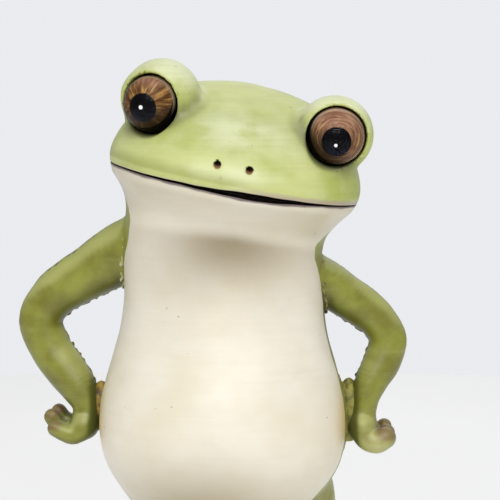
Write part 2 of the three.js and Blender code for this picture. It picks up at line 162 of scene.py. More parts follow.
def smooth_step(value, low, high):
    t = np.clip((value - low) / (high - low), 0, 1)
    return t * t * (3 - 2 * t)


def smooth_min(a, b, reach):
    h = np.maximum(reach - np.abs(a - b), 0) / reach
    return np.minimum(a, b) - h * h * reach / 4


def smooth_max(a, b, reach):
    return -smooth_min(-a, -b, reach)


def ripple(x, y, z, length, seed):
    """Smooth, seeded unevenness between about -1 and 1, with bumps about `length` millimetres apart."""
    rng = np.random.RandomState(seed)
    total = 0
    for _ in range(5):
        direction = rng.normal(size=3)
        direction *= 2 * math.pi / (length * rng.uniform(0.8, 1.3) * np.linalg.norm(direction))
        phase = rng.uniform(0, 2 * math.pi)
        total = total + np.sin(direction[0] * x + direction[1] * y + direction[2] * z + phase)
    return total / 3.2


def through(points, steps):
    """Catmull-Rom curve through the rows of points, with `steps` samples for each stretch."""
    points = np.asarray(points, float)
    padded = np.vstack([2 * points[0] - points[1], points, 2 * points[-1] - points[-2]])
    t = (np.arange(steps) / steps)[:, None]
    parts = []
    for a, b, c, d in zip(padded, padded[1:], padded[2:], padded[3:]):
        bend = (2 * a - 5 * b + 4 * c - d) * t ** 2 + (3 * b - a - 3 * c + d) * t ** 3
        parts.append(b + ((c - a) * t + bend) / 2)
    parts.append(points[-1:])
    return np.vstack(parts)


def trunk_tables():
    """Squared half width, squared ratio of width to depth, and middle, as smooth functions of height.

    Past the lowest and highest section the squared half width falls below zero, which closes the skin."""
    fine = through(TRUNK, 12)
    spacing, blur, reach = 0.2, 0.9, 12
    bottom, top = TRUNK[0, 0], TRUNK[-1, 0]
    z = np.arange(60, 182, spacing)
    width = np.interp(z, fine[:, 0], fine[:, 1])
    deep = np.interp(z, fine[:, 0], (fine[:, 3] - fine[:, 2]) / 2)
    middle = np.interp(z, fine[:, 0], (fine[:, 3] + fine[:, 2]) / 2)
    square = width ** 2
    above, below = z > top, z < bottom
    square[above] = TRUNK[-1, 1] ** 2 - 60 * (z[above] - top)
    square[below] = TRUNK[0, 1] ** 2 - 55 * (bottom - z[below])
    ratio = (width / deep) ** 2
    kernel = np.exp(-0.5 * (np.arange(-reach, reach + 1) * spacing / blur) ** 2)
    kernel /= kernel.sum()
    smooth = [np.convolve(np.pad(v, reach, "edge"), kernel, "valid") for v in (square, ratio, middle)]
    return z, smooth, [np.gradient(v, z) for v in smooth]


TABLE_Z, (SQUARE, RATIO, MIDDLE), (D_SQUARE, D_RATIO, D_MIDDLE) = trunk_tables()


def look_up(z, table):
    return np.interp(z, TABLE_Z, table).astype(np.float32)


def trunk(x, y, z):
    """Signed distance to the plain skin of head and trunk, without lids, eyes or mouth."""
    square, ratio, middle = look_up(z, SQUARE), look_up(z, RATIO), look_up(z, MIDDLE)
    off = y - middle
    value = x * x + off * off * ratio - square
    slope_z = -2 * off * look_up(z, D_MIDDLE) * ratio
    slope_z = slope_z + off * off * look_up(z, D_RATIO) - look_up(z, D_SQUARE)
    slope = np.sqrt(4 * x * x + 4 * off * off * ratio * ratio + slope_z * slope_z + 1)
    return np.clip(value / slope, -9, 40)


def sphere(x, y, z, centre, radius):
    """Signed distance to a ball. Only the first three numbers of `centre` count."""
    return np.sqrt((x - centre[0]) ** 2 + (y - centre[1]) ** 2 + (z - centre[2]) ** 2) - radius


def round_limb(x, y, z, points, steps):
    """Signed distance to short tapering rods, laid end to end along the curve through the points."""
    nearest = None
    line = through(points, steps).astype(np.float32)
    for (ax, ay, az, thick), (bx, by, bz, thin) in zip(line, line[1:]):
        ux, uy, uz = bx - ax, by - ay, bz - az
        share = ((x - ax) * ux + (y - ay) * uy + (z - az) * uz) / (ux * ux + uy * uy + uz * uz)
        share = np.clip(share, 0, 1)
        off = np.sqrt((x - ax - share * ux) ** 2 + (y - ay - share * uy) ** 2 + (z - az - share * uz) ** 2)
        distance = off - thick - share * (thin - thick)
        nearest = distance if nearest is None else np.minimum(nearest, distance)
    return nearest


def gaze(side):
    """Unit vector along which an eye looks."""
    out, down = math.radians(EYES[side]["out"]), math.radians(EYES[side]["down"])
    direction = np.array([math.sin(out), -math.cos(out), -math.tan(down)])
    return direction / np.linalg.norm(direction)


def along_gaze(x, y, z, side):
    """Distance ahead of the middle of an eye, and distance from the line of its gaze."""
    g = gaze(side)
    bx, by, bz = EYES[side]["ball"]
    dx, dy, dz = x - bx, y - by, z - bz
    ahead = dx * g[0] + dy * g[1] + dz * g[2]
    off = np.sqrt(np.maximum(dx * dx + dy * dy + dz * dz - ahead * ahead, 0))
    return ahead, off


def socket(x, y, z, side):
    """Room for the ball and its dome, which opens slightly towards the front."""
    ahead, off = along_gaze(x, y, z, side)
    room = sphere(x, y, z, EYES[side]["ball"], SOCKET)
    widened = DOME + 0.08 + 0.12 * np.maximum(ahead - SOCKET_FROM, 0)
    return np.minimum(room, np.maximum(off - widened, SOCKET_FROM - ahead))


def mouth_opening(x):
    """From 1 in the middle of the mouth to 0 at its corners."""
    return 1 - np.clip(x / MOUTH_HALF_WIDTH, -1, 1) ** 2


def mouth_height(x):
    """Height of the slit, which rises to the corners and wavers slightly, as if cut by hand."""
    across = np.clip(x / MOUTH_HALF_WIDTH, -1, 1)
    wander = 0.05 * np.sin(x * 0.42 + 0.6) + 0.03 * np.sin(x * 0.93)
    return MOUTH_HEIGHT + MOUTH_SMILE * across ** 2 + wander * (1 - across ** 2)


def mouth(x, y, z, skin):
    opened = mouth_opening(x)
    gap = 0.06 + 0.22 * opened + 0.5 * np.exp(-((x - MOUTH_OPEN_AT) / 10) ** 2)
    depth = MOUTH_DEPTH * (0.25 + 0.75 * opened)
    slab = np.abs(z - mouth_height(x) + 0.15 * gap) - gap * (1 + 0.12 * skin)
    behind = y - look_up(z, MIDDLE) + 1.0
    return np.maximum(np.maximum(slab, -(skin + depth)), behind)


def lips(x, y, z):
    """How much the lips stand out: the upper one as an overhang, the lower one as a soft roll."""
    height = mouth_height(x)
    front = smooth_step(look_up(z, MIDDLE) - y, 0, 8)
    above, below = z - height - 2.0, height - z - 2.0
    upper = np.where(above < 0, np.exp(-(above / 0.9) ** 2), np.exp(-(above / 2.6) ** 2))
    lower = np.where(below < 0, np.exp(-(below / 0.8) ** 2), np.exp(-(below / 1.3) ** 2))
    return front * (0.3 * upper + 0.28 * lower)


def nostrils(x, y, z):
    """Two short round channels, which go in and slightly up."""
    nearest = 50.0
    for sign in (-1, 1):
        for step in range(8):
            centre = (sign * NOSTRIL_X, NOSTRIL_Y - 3 + 0.75 * step, NOSTRIL_Z - 0.6 + 0.15 * step)
            nearest = np.minimum(nearest, sphere(x, y, z, centre, NOSTRIL_RADIUS))
    return nearest


def bare_head(x, y, z):
    """Head and trunk with lids, before anything is cut into them."""
    skin = trunk(x, y, z)
    for side in SIDES:
        skin = smooth_min(skin, sphere(x, y, z, EYES[side]["lid"], LID), 2.8)
    return skin


def unevenness(x, y, z):
    """How far the hand-smoothed surface strays from its plain shape."""
    return 0.10 * ripple(x, y, z, 17, 3) + 0.045 * ripple(x, y, z, 6.5, 5)


def head_and_trunk(x, y, z):
    skin = bare_head(x, y, z)
    body = skin - lips(x, y, z) - unevenness(x, y, z)
    for side in SIDES:
        ahead, off = along_gaze(x, y, z, side)
        rim = np.sqrt((off - DOME - 0.75) ** 2 + (ahead - 0.2) ** 2) - 0.75
        body = smooth_min(body, np.maximum(rim, skin - 0.5), 1.2)
        body = smooth_max(body, -socket(x, y, z, side), 0.3)
    body = smooth_max(body, -mouth(x, y, z, skin), 0.25)
    body = smooth_max(body, -nostrils(x, y, z), 0.5)
    pocket = np.maximum(np.sqrt((x - PLUG_X) ** 2 + (y - PLUG_Y) ** 2) - PLUG_POCKET, z - PLUG_TOP)
    return smooth_max(body, -pocket, 0.6)


def arm(x, y, z, side):
    upper = round_limb(x, y, z, ARMS[side], 5)
    px, py, pz, radius = PALMS[side]
    palm = np.sqrt(((x - px) / 0.92) ** 2 + ((y - py) / 1.45) ** 2 + (z - pz) ** 2) - radius
    whole = smooth_min(upper, palm, 2.0)
    fingers = None
    for points in FINGERS[side]:
        finger = round_limb(x, y, z, points, 5)
        fingers = finger if fingers is None else smooth_min(fingers, finger, 0.5)
    whole = smooth_min(whole, fingers, 1.3)
    return whole - LIMB_UNEVENNESS * unevenness(x, y, z)


def seam(x, y, z, side):
    """Mould flash: a broken ridge of nubs along the inner edge of an arm."""
    line = np.array(ARMS[side])
    order = np.argsort(line[:, 2])
    middle_y = np.interp(z, line[order, 2], line[order, 1])
    sign = 1 if side == "left" else -1
    inner = smooth_step(sign * np.interp(z, line[order, 2], line[order, 0]) - sign * x, 1.5, 4.0)
    nubs = np.maximum(ripple(x, y, z, 1.7, 11) + 0.15, 0)
    return 0.5 * inner * nubs * np.exp(-((y - middle_y) / 0.6) ** 2) * smooth_step(z, 99, 103)


def arm_piece(x, y, z, side):
    """An arm that swells into the trunk, with a thin flange just under the trunk's skin."""
    skin = trunk(x, y, z)
    shape = arm(x, y, z, side)
    under = skin - unevenness(x, y, z) + FLANGE_OUTSIDE
    blended = smooth_min(shape - seam(x, y, z, side), under, 2.2)
    kept = np.maximum(blended, -(skin + FLANGE_INSIDE))
    return smooth_max(kept, shape - 3.0, 0.4)


def toe_parts(lx, ly, lz, degrees):
    """A toe with its round tip, and the thin web that lies on both sides of it."""
    angle = math.radians(degrees - 90)
    ux, uy = math.cos(angle), math.sin(angle)
    along = np.clip(lx * ux + ly * uy, 0, TOE_LINE)
    from_line = (lx - along * ux) ** 2 + (ly - along * uy) ** 2
    from_end = (lx - TOE_LINE * ux) ** 2 + (ly - TOE_LINE * uy) ** 2
    toe = np.sqrt(from_line + (1.1 * (lz - 1.2)) ** 2) - (3.4 - 0.9 * along / TOE_LINE)
    tip = np.sqrt(from_end + (1.45 * (lz - 1.1)) ** 2) - TOE
    side_web = np.sqrt(from_line) - (6.0 - 2.5 * along / TOE_LINE)
    return smooth_min(toe, tip, 1.5), np.maximum(side_web, np.abs(lz - 1.1) - 1.1)


def middle_web(lx, ly, lz):
    """The web between the toes, scalloped along its front edge."""
    radius = np.sqrt(lx * lx + ly * ly)
    bearing = np.degrees(np.arctan2(lx, -ly))
    scallop = WEB_REACH - 2.5 + 5.5 * np.abs(np.cos(np.radians(bearing / TOE_SPREAD * 180)) * 0.5)
    web = np.maximum(np.abs(lz - 1.2) - 1.15, radius - scallop - 0.6)
    return np.maximum(web, (np.abs(bearing) - TOE_SPREAD) * radius * 0.017)


def foot(x, y, z, side):
    ax, ay = LEGS[side][-1][:2]
    turn = math.radians(FOOT_TURN[side])
    lx = (x - ax) * math.cos(turn) + (y - ay) * math.sin(turn)
    ly = -(x - ax) * math.sin(turn) + (y - ay) * math.cos(turn)
    lz = z - SOLE
    whole = np.sqrt(lx * lx + ly * ly + (1.25 * (lz - 1.6)) ** 2) - HEEL
    for degrees in (-TOE_SPREAD, 0, TOE_SPREAD):
        for part in toe_parts(lx, ly, lz, degrees):
            whole = smooth_min(whole, part, 1.6)
    return smooth_min(whole, middle_web(lx, ly, lz), 2.0)


def leg_piece(x, y, z, side):
    """A leg with its foot, cut flat at the sole, and with a flange like an arm's."""
    skin = trunk(x, y, z)
    shape = round_limb(x, y, z, LEGS[side], 6)
    ax, ay = LEGS[side][-1][:2]
    ankle = np.sqrt((x - ax) ** 2 + ((y - ay) / 1.1) ** 2 + ((z - 6.5) / 0.85) ** 2) - 5.8
    shape = smooth_min(shape, smooth_min(ankle, foot(x, y, z, side), 2.5), 2.5)
    shape = smooth_max(shape - LIMB_UNEVENNESS * unevenness(x, y, z), SOLE + 0.05 - z, 0.5)
    blended = smooth_min(shape, skin - unevenness(x, y, z) + FLANGE_OUTSIDE, 3.0)
    kept = np.maximum(blended, -(skin + FLANGE_INSIDE))
    return smooth_max(kept, shape - 3.5, 0.4)


def hip_putty(x, y, z, side):
    """A lumpy web of putty between wrist and hip."""
    cx, cy, cz = HIP_PUTTY[side]
    sx, sy, sz = HIP_PUTTY_SIZE[side]
    q = np.sqrt(((x - cx) / sx) ** 2 + ((y - cy) / sy) ** 2 + ((z - cz) / sz) ** 2)
    lump = (q - 1) * sy - 0.14 * ripple(x, y, z, 5.5, 21) - 0.06 * ripple(x, y, z, 1.9, 23)
    near = smooth_min(lump, np.maximum(trunk(x, y, z) - 0.35, lump - 1.6), 1.0)
    near = np.maximum(near, -(trunk(x, y, z) + 0.7))
    return smooth_max(near, -(arm(x, y, z, side) + 0.6), 0.3)


def shoulder_bead(x, y, z, side):
    """Crumbs and smears of putty in the crease round the root of an arm, thickest in the armpit."""
    root = np.array(ARMS[side][1])
    skin, shape = trunk(x, y, z), arm(x, y, z, side)
    crease = np.sqrt(np.maximum(skin - 0.2, 0) ** 2 + np.maximum(shape - 0.2, 0) ** 2)
    under = smooth_step(root[2] - z, -2, 4)
    crumbs = 0.45 * ripple(x, y, z, 3.3, 31) + 0.3 * ripple(x, y, z, 1.3, 33)
    bead = crease - (0.75 * under - 0.05) - crumbs
    near = np.maximum(np.maximum(bead, skin - 1.0), shape - 1.2)
    return smooth_max(near, -np.minimum(skin + 0.7, shape + 0.7), 0.2)


# ---- from field to mesh


def surface_net(field, xs, ys, zs):
    """Vertices and quads of the surface where the field is zero, on a grid with uneven spacing."""
    f = field(xs[:, None, None], ys[None, :, None], zs[None, None, :])
    f = np.broadcast_to(f, (len(xs), len(ys), len(zs))).astype(np.float32)
    axes = (xs, ys, zs)
    cells, places, quads = [], [], []
    shape = np.array(f.shape)
    for axis in range(3):
        near = np.take(f, np.arange(shape[axis] - 1), axis)
        far = np.take(f, np.arange(1, shape[axis]), axis)
        index = np.array(np.nonzero((near < 0) != (far < 0)))
        others = [(axis + 1) % 3, (axis + 2) % 3]
        fits = np.ones(index.shape[1], bool)
        for o in others:
            fits &= (index[o] > 0) & (index[o] < shape[o] - 1)
        index = index[:, fits]
        a, b = near[tuple(index)], far[tuple(index)]
        share = a / (a - b)
        point = np.array([axes[k][index[k]] for k in range(3)], float)
        point[axis] += share * (axes[axis][index[axis] + 1] - axes[axis][index[axis]])
        ring = []
        for step in ((-1, -1), (0, -1), (0, 0), (-1, 0)):
            cell = index.copy()
            cell[others[0]] += step[0]
            cell[others[1]] += step[1]
            ring.append(np.ravel_multi_index(tuple(cell), tuple(shape)))
        ring = np.array(ring)
        ring[:, b < a] = ring[::-1, b < a]
        quads.append(ring.T)
        cells.extend(ring)
        places.extend([point.T] * len(ring))
    cells, places = np.concatenate(cells), np.concatenate(places)
    used, inverse = np.unique(cells, return_inverse=True)
    count = np.bincount(inverse)
    vertices = np.column_stack([np.bincount(inverse, places[:, k]) / count for k in range(3)])
    faces = np.searchsorted(used, np.concatenate(quads))
    return vertices, faces


def slope(field, points, step=0.06):
    """Gradient of the field at each point."""
    columns = []
    for axis in range(3):
        ahead, behind = points.copy(), points.copy()
        ahead[:, axis] += step
        behind[:, axis] -= step
        columns.append((field(*ahead.T) - field(*behind.T)) / (2 * step))
    return np.column_stack(columns)


def settle(field, points, rounds=3):
    """Moves points onto the surface."""
    for _ in range(rounds):
        grade = slope(field, points)
        size = np.maximum((grade ** 2).sum(1), 0.2)
        move = (field(*points.T) / size)[:, None] * grade
        points = points - np.clip(move, -0.3, 0.3)
    return points


def posed(points):
    """Bends the neck, as the part's source does, and moves the frog to its origin."""
    share = smooth_step(points[:, 2], NECK_FROM, NECK_TO)
    turn, lean = share * HEAD_TURN, share * HEAD_LEAN
    x = points[:, 0] * np.cos(turn) - points[:, 1] * np.sin(turn)
    y = points[:, 0] * np.sin(turn) + points[:, 1] * np.cos(turn)
    z = points[:, 2] - NECK_PIVOT
    leaned = np.column_stack([
        x * np.cos(lean) + z * np.sin(lean),
        y,
        -x * np.sin(lean) + z * np.cos(lean) + NECK_PIVOT,
    ])
    return (leaned + ORIGIN) * MM


def make_object(name, vertices, faces, attributes, material, nodes):
    mesh = bpy.data.meshes.new(name)
    mesh.from_pydata(posed(vertices).tolist(), [], faces.tolist())
    for key, values in attributes.items():
        kind = "FLOAT_VECTOR" if values.ndim == 2 else "FLOAT"
        layer = mesh.attributes.new(key, kind, "POINT")
        layer.data.foreach_set("vector" if values.ndim == 2 else "value", values.astype(np.float32).ravel())
    mesh.shade_smooth()
    mesh.update()
    piece = bpy.data.objects.new(name, mesh)
    bpy.context.scene.collection.objects.link(piece)
    mesh.materials.append(material)
    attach(piece, "root")
    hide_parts(*nodes)


def drop_specks(vertices, faces, least=60):
    """Leaves out loose bits with fewer than `least` vertices."""
    label = np.arange(len(vertices))
    while True:
        lowest = label[faces].min(1)
        before = label.copy()
        for k in range(4):
            np.minimum.at(label, faces[:, k], lowest)
        label = label[label]
        if np.array_equal(before, label):
            break
    size = np.bincount(label, minlength=len(vertices))
    keep = size[label] >= least
    number = np.cumsum(keep) - 1
    return vertices[keep], number[faces[keep[faces[:, 0]]]]


# ---- what the paint needs to know


def everything(x, y, z):
    """Rough distance to the whole frog, for telling creases from open skin."""
    nearest = head_and_trunk(x, y, z)
    for side in SIDES:
        nearest = np.minimum(nearest, round_limb(x, y, z, ARMS[side], 3))
        nearest = np.minimum(nearest, round_limb(x, y, z, LEGS[side], 4))
    return nearest


def crease_fact(points, normal):
    """From 0 on open skin to 1 deep in a crease, where the coats darken: antique wash on the skin together
    with painted shade.
    """
    crease = np.zeros(len(points))
    for reach in (1.2, 3.0, 6.0):
        ahead = points + reach * normal
        crease += np.clip(1 - everything(*ahead.T) / reach, 0, 1) / 3
    return crease


def finger_tips(x, y, z):
    """1 on the upper side of each finger tip, which is painted brown, and 0 elsewhere."""
    tip = np.zeros(len(x))
    for points in FINGERS["left"] + FINGERS["right"]:
        radius = points[-1][3]
        reach = sphere(x, y, z, points[-1], 0)
        upper = smooth_step(z - points[-1][2], -1.5, 0.8)
        tip = np.maximum(tip, upper * (1 - smooth_step(reach, radius * 0.8, radius * 1.5)))
    return tip


def eye_facts(x, y, z):
    """Distance from the nearest eye socket, and how much a point lies in the shade under one."""
    eye, under_eye = np.full(len(x), 20.0), np.zeros(len(x))
    for side in SIDES:
        bx, _, bz = EYES[side]["ball"]
        gap = np.abs(sphere(x, y, z, EYES[side]["ball"], SOCKET))
        below = smooth_step(0.4 * (bx - x) * np.sign(bx) + 0.9 * (bz - z), 0, 5)
        eye = np.minimum(eye, gap)
        under_eye = np.maximum(under_eye, np.exp(-(gap / 2.6) ** 2) * below)
    return eye, under_eye


def shade_on_cream(x, z):
    """Painted shade on the cream, in beige: a painted shadow across the chest under the chin, partly a
    beige wash, painted shade low on the belly, and a beige tint on the jaw.
    """
    below_chin = CHIN - 0.06 * np.abs(x - 3) - z
    jaw_edge = np.exp(-(np.minimum(below_chin, 0) / 2.6) ** 2)
    chest = 0.58 * np.exp(-((x - 1) / 23) ** 2 - (np.maximum(below_chin, 0) / 17) ** 2)
    chin = 0.40 * np.exp(-((x - 3) / 13) ** 2 - (np.maximum(below_chin, 0) / 8) ** 2)
    low_belly = (1 - smooth_step(z, 72, 98)) * np.exp(-((x + 3) / 21) ** 2)
    jaw = 0.27 * smooth_step(z, 142, 147)
    return np.clip(jaw_edge * (chest + chin) + low_belly + jaw, 0, 1)


def painted_highlights(x, y, z, up):
    """Painted highlights in paler green: on the forehead and the snout, and on the tops of the lids where
    they face up.
    """
    forehead = np.exp(-(x / 11.5) ** 2 - ((z - 168.5) / 4.6) ** 2)
    snout = np.exp(-((x - 1) / 9) ** 2 - ((z - 158.8) / 2.0) ** 2)
    in_front = smooth_step(look_up(z, MIDDLE) - y, 0, 6)
    hood = np.zeros(len(x))
    for side in SIDES:
        lid = np.exp(-(sphere(x, y, z, EYES[side]["lid"], LID) / 1.2) ** 2)
        hood = np.maximum(hood, lid * smooth_step(up, 0.0, 0.8))
    return np.clip(forehead + 0.6 * snout, 0, 1) * in_front + hood


def lighter_green_patches(x, y, z):
    """Where the green is lighter: a knuckle of the left hand, and the tops of the thighs."""
    knuckle = np.exp(-(sphere(x, y, z, FINGERS["left"][0][2], 0) / 4.5) ** 2)
    thigh = 0.45 * (1 - smooth_step(z, 80, 92))
    return np.clip(knuckle + thigh, 0, 1)


def trunk_facts(x, y, z, cream):
    """What only head and trunk have: mouth and nostrils. They have no mould flash."""
    slit = mouth(x, y, z, bare_head(x, y, z))
    return {"cream": cream, "slit": slit, "nostril": nostrils(x, y, z), "nub": np.zeros(len(x))}


def limb_facts(x, y, z, cream):
    """Limbs are far from the mouth, have mould flash, and are cream only where they meet the trunk."""
    cream = np.minimum(cream, 3 * (0.6 - trunk(x, y, z)))
    far = np.full(len(x), 9.0)
    flash = np.maximum(seam(x, y, z, "left"), seam(x, y, z, "right"))
    return {"cream": cream, "slit": far, "nostril": far, "nub": np.clip(3.5 * flash, 0, 1)}


def paint_facts(field, points, special_facts):
    """Everything the skin's material reads at each vertex. Lengths are in millimetres."""
    x, y, z = points.T
    normal = slope(field, points, 0.5)
    normal /= np.maximum(np.linalg.norm(normal, axis=1), 1e-6)[:, None]
    edge = look_up(z, MIDDLE) - np.interp(z, PAINT_EDGE[:, 0], PAINT_EDGE[:, 1])
    above_slit = z - mouth_height(x)
    cream = np.minimum(edge - y, -above_slit - 0.2)
    eye, under_eye = eye_facts(x, y, z)
    return {
        "crease": crease_fact(points, normal),
        "lip": np.where(y < look_up(z, MIDDLE), above_slit, 30.0),
        "across": x,
        "up": normal[:, 2],
        # pale: painted highlights on forehead, snout and lid tops
        "pale": painted_highlights(x, y, z, normal[:, 2]),
        "lighter_green": lighter_green_patches(x, y, z),
        "gold": np.exp(-((np.abs(x) - 31) / 2.3) ** 2 - ((z - 98) / 9) ** 2),
        # shade: painted shadow under the chin, painted shade low on the belly, beige tint on the jaw
        "shade": shade_on_cream(x, z),
        "limb": 1 - smooth_step(z, 137, 156),
        "under_eye": under_eye,
        "tip": finger_tips(x, y, z),
        "eye": eye,
        **special_facts(x, y, z, cream),
    }


# ---- materials


# Colours of the green coat.
GREEN, LIGHT_GREEN = (0.43, 0.49, 0.105), (0.60, 0.64, 0.25)
# The second colour below is the paler green of painted highlights.
CLOUDED_GREEN, HIGHLIGHT_GREEN = (0.76, 0.78, 0.50), (0.76, 0.80, 0.50)
STROKE_GREEN, DARK_STROKE_GREEN = (0.58, 0.62, 0.30), (0.25, 0.28, 0.06)
# The under-eye olive is painted shade; the crease olive is antique wash together with painted shade.
UNDER_EYE_OLIVE, CREASE_OLIVE = (0.085, 0.095, 0.02), (0.085, 0.09, 0.018)
DEEP_OLIVE, OLIVE = (0.170, 0.165, 0.014), (0.265, 0.28, 0.034)
# The sunlit and shaded olives are painted light and painted shade on the limbs.
SUNLIT_OLIVE, SHADED_OLIVE = (0.40, 0.43, 0.13), (0.06, 0.065, 0.010)
# The olive of the ridge below is a painted highlight along the limbs' upper edge.
LIGHTER_OLIVE, RIDGE_HIGHLIGHT_OLIVE, FLASH_BLACK = (0.52, 0.51, 0.22), (0.54, 0.54, 0.20), (0.022, 0.025, 0.008)

# Colours of the cream coat.
CREAM, LIGHT_CREAM = (0.80, 0.735, 0.575), (0.875, 0.83, 0.715)
STROKE_TAN, DARK_STROKE_TAN = (0.66, 0.58, 0.42), (0.58, 0.50, 0.35)
HIP_GOLD, PATCH_GREY = (0.64, 0.46, 0.13), (0.62, 0.64, 0.66)
# The beige of the shade is painted shade and shadow; the crease tan is antique wash together with painted
# shade.
SHADE_BEIGE, CREASE_TAN = (0.31, 0.255, 0.155), (0.40, 0.33, 0.20)

# Colours of the mouth and of small details.
LOWER_LIP, PALE_LIP, MAUVE_LIP = (0.115, 0.08, 0.085), (0.60, 0.55, 0.38), (0.42, 0.31, 0.28)
UPPER_LIP_OLIVE, FINGER_TIP_BROWN = (0.26, 0.27, 0.065), (0.17, 0.065, 0.035)
# The socket black is a black outline together with painted shade; the nostril black is painted shade.
SPECK_BROWN, SOCKET_BLACK, SLIT_BLACK = (0.30, 0.24, 0.15), (0.030, 0.016, 0.009), (0.014, 0.007, 0.006)
NOSTRIL_BROWN, NOSTRIL_BLACK = (0.40, 0.23, 0.12), (0.03, 0.012, 0.008)

# Colours of the eyes.
IRIS_DARK, IRIS_BROWN, IRIS_GOLD = (0.080, 0.032, 0.010), (0.34, 0.165, 0.050), (0.66, 0.47, 0.15)
PINK_DARK, PINK_LIGHT = (0.27, 0.125, 0.075), (0.54, 0.33, 0.22)
# The pale colour of the iris rim is a painted reflection of the dome's edge.
BALL_BLACK, BALL_EDGE, IRIS_RIM_REFLECTION = (0.006, 0.004, 0.004), (0.020, 0.010, 0.006), (0.55, 0.44, 0.34)
# The pupil's glint is a painted reflection, and the white of the dot a painted highlight.
PUPIL_BLACK, PUPIL_GLINT, HIGHLIGHT_DOT_WHITE = (0.0015, 0.0015, 0.003), (0.012, 0.013, 0.028), (0.95, 0.95, 0.95)


class Paint:
    """A small builder for a node material."""

    def __init__(self, name):
        self.material = bpy.data.materials.new(name)
        self.material.use_nodes = True
        self.tree = self.material.node_tree
        self.shader = self.tree.nodes["Principled BSDF"]
        self.output = self.tree.nodes["Material Output"]

    def put(self, socket, value):
        if isinstance(value, bpy.types.NodeSocket):
            self.tree.links.new(value, socket)
        elif isinstance(value, tuple) and len(value) == 3 and socket.type == "RGBA":
            socket.default_value = (*value, 1)
        else:
            socket.default_value = value

    def node(self, kind, **settings):
        made = self.tree.nodes.new("ShaderNode" + kind)
        for key, value in settings.items():
            setattr(made, key, value)
        return made

    def fact(self, name):
        return self.node("Attribute", attribute_name=name).outputs["Fac"]

    def vector_fact(self, name):
        return self.node("Attribute", attribute_name=name).outputs["Vector"]

    def math(self, operation, a, b=0.0):
        made = self.node("Math", operation=operation)
        self.put(made.inputs[0], a)
        self.put(made.inputs[1], b)
        return made.outputs[0]

    def times(self, a, b):
        return self.math("MULTIPLY", a, b)

    def plus(self, a, b):
        return self.math("ADD", a, b)

    def minus(self, a, b):
        return self.math("SUBTRACT", a, b)

    def length(self, a, b):
        return self.math("SQRT", self.plus(self.times(a, a), self.times(b, b)))

    def step(self, value, low, high, bottom=0.0, top=1.0):
        """Smooth step of value from low to high, which gives bottom to top."""
        made = self.node("MapRange", interpolation_type="SMOOTHSTEP")
        for socket, item in zip(made.inputs, (value, low, high, bottom, top)):
            self.put(socket, item)
        return made.outputs[0]

    def place(self, *scale):
        """Object coordinates times one scale or three, in bumps per metre."""
        made = self.node("Mapping")
        self.put(made.inputs["Vector"], self.node("TexCoord").outputs["Object"])
        made.inputs["Scale"].default_value = scale * 3 if len(scale) == 1 else scale
        return made.outputs[0]

    def noise(self, vector, detail=3.0, rough=0.55, scale=1.0):
        made = self.node("TexNoise")
        self.put(made.inputs["Vector"], vector)
        made.inputs["Scale"].default_value = scale
        made.inputs["Detail"].default_value = detail
        made.inputs["Roughness"].default_value = rough
        return made.outputs["Fac"]

    def mix(self, share, a, b):
        """Colour a where share is 0, and b where it is 1."""
        made = self.node("Mix", data_type="RGBA")
        self.put(made.inputs[0], share)
        self.put(made.inputs[6], a)
        self.put(made.inputs[7], b)
        return made.outputs[2]

    def washes(self, colour, *coats):
        """Lays coats of (share, colour) over a colour, one after the other."""
        for share, coat in coats:
            colour = self.mix(share, colour, coat)
        return colour

    def bump(self, height, distance, strength=1.0, after=None):
        made = self.node("Bump")
        made.inputs["Strength"].default_value = strength
        made.inputs["Distance"].default_value = distance
        self.put(made.inputs["Height"], height)
        if after is not None:
            self.put(made.inputs["Normal"], after)
        return made.outputs[0]

    def finish(self, **sockets):
        for key, value in sockets.items():
            self.put(self.shader.inputs[key.replace("_", " ")], value)
        return self.material


def brush_marks(p):
    """The noises that the coats of paint share."""
    return {
        "cloud": p.noise(p.place(48), 3.0),
        "patch": p.noise(p.place(130, 130, 150), 4.0),
        "strokes": p.noise(p.place(60, 60, 1000), 3.0, 0.6),
        "wide_strokes": p.noise(p.place(35, 35, 330), 3.0, 0.6),
    }


def limb_coat(p, patch):
    """Olive of the arms and legs: paler on top as painted light, with a painted highlight along a ridge,
    darker below as painted shade, and darker on mould flash.
    """
    up = p.fact("up")
    return p.washes(
        p.mix(p.step(patch, 0.3, 0.7), DEEP_OLIVE, OLIVE),
        # paler on upward faces: painted light
        (p.step(up, 0.1, 0.85, 0.0, 0.7), SUNLIT_OLIVE),
        # darker on downward faces: painted shade
        (p.step(up, -0.8, -0.1, 0.55, 0.0), SHADED_OLIVE),
        (p.times(p.fact("lighter_green"), p.step(patch, 0.3, 0.6, 0.5, 1.0)), LIGHTER_OLIVE),
        # painted highlight along the upper ridge of a limb
        (p.times(p.step(up, 0.3, 0.55), p.step(up, 0.6, 0.85, 0.32, 0.0)), RIDGE_HIGHLIGHT_OLIVE),
        (p.times(p.fact("nub"), 0.85), FLASH_BLACK),
    )


